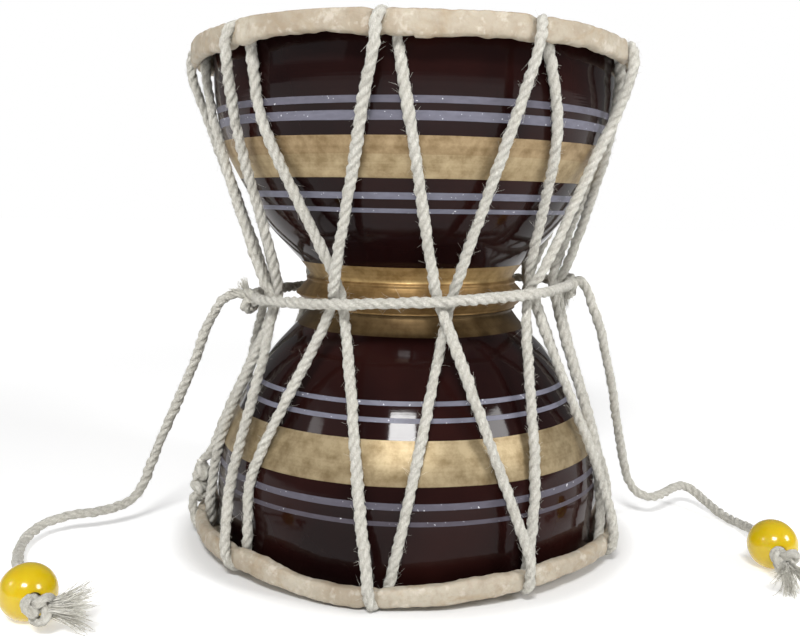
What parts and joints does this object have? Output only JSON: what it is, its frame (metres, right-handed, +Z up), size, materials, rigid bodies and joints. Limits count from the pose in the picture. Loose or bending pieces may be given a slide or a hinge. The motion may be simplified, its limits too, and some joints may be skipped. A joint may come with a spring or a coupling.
{
  "type": "damaru drum",
  "caption": "Hourglass hand drum: lacquered wooden body, laced skin heads at both ends, and bead strikers on cords from its waist.",
  "frame": {"origin": "middle of the lower head's flat face, on which the drum stands", "axes": "+Z up along the turned axis of the body, -Y towards the front with the beads, +X to the right"},
  "size_m": [0.2567, 0.1746, 0.1702],
  "materials": {
    "lacquered_wood": "gloss maroon lacquer with painted blue-grey lines and satin gold bands",
    "skin": "matt untreated drum skin with brown stains",
    "cotton_cord": "three-strand twisted off-white cotton cord",
    "yellow_bead": "gloss yellow"
  },
  "bodies": {
    "root": {"body": "lacquered_wood", "upper_head": "skin", "lower_head": "skin", "lacing_first_pass": "cotton_cord", "lacing_second_pass": "cotton_cord", "lacing_knot_left": "cotton_cord", "lacing_knot_back": "cotton_cord", "waist_cord_front": "cotton_cord", "waist_cord_back": "cotton_cord", "waist_knot_left": "cotton_cord", "waist_knot_right": "cotton_cord", "striker_cord_left": "cotton_cord", "striker_cord_right": "cotton_cord", "bead_left": "yellow_bead", "bead_right": "yellow_bead", "bead_knot_left": "cotton_cord", "bead_knot_right": "cotton_cord"}
  },
  "joints": []
}
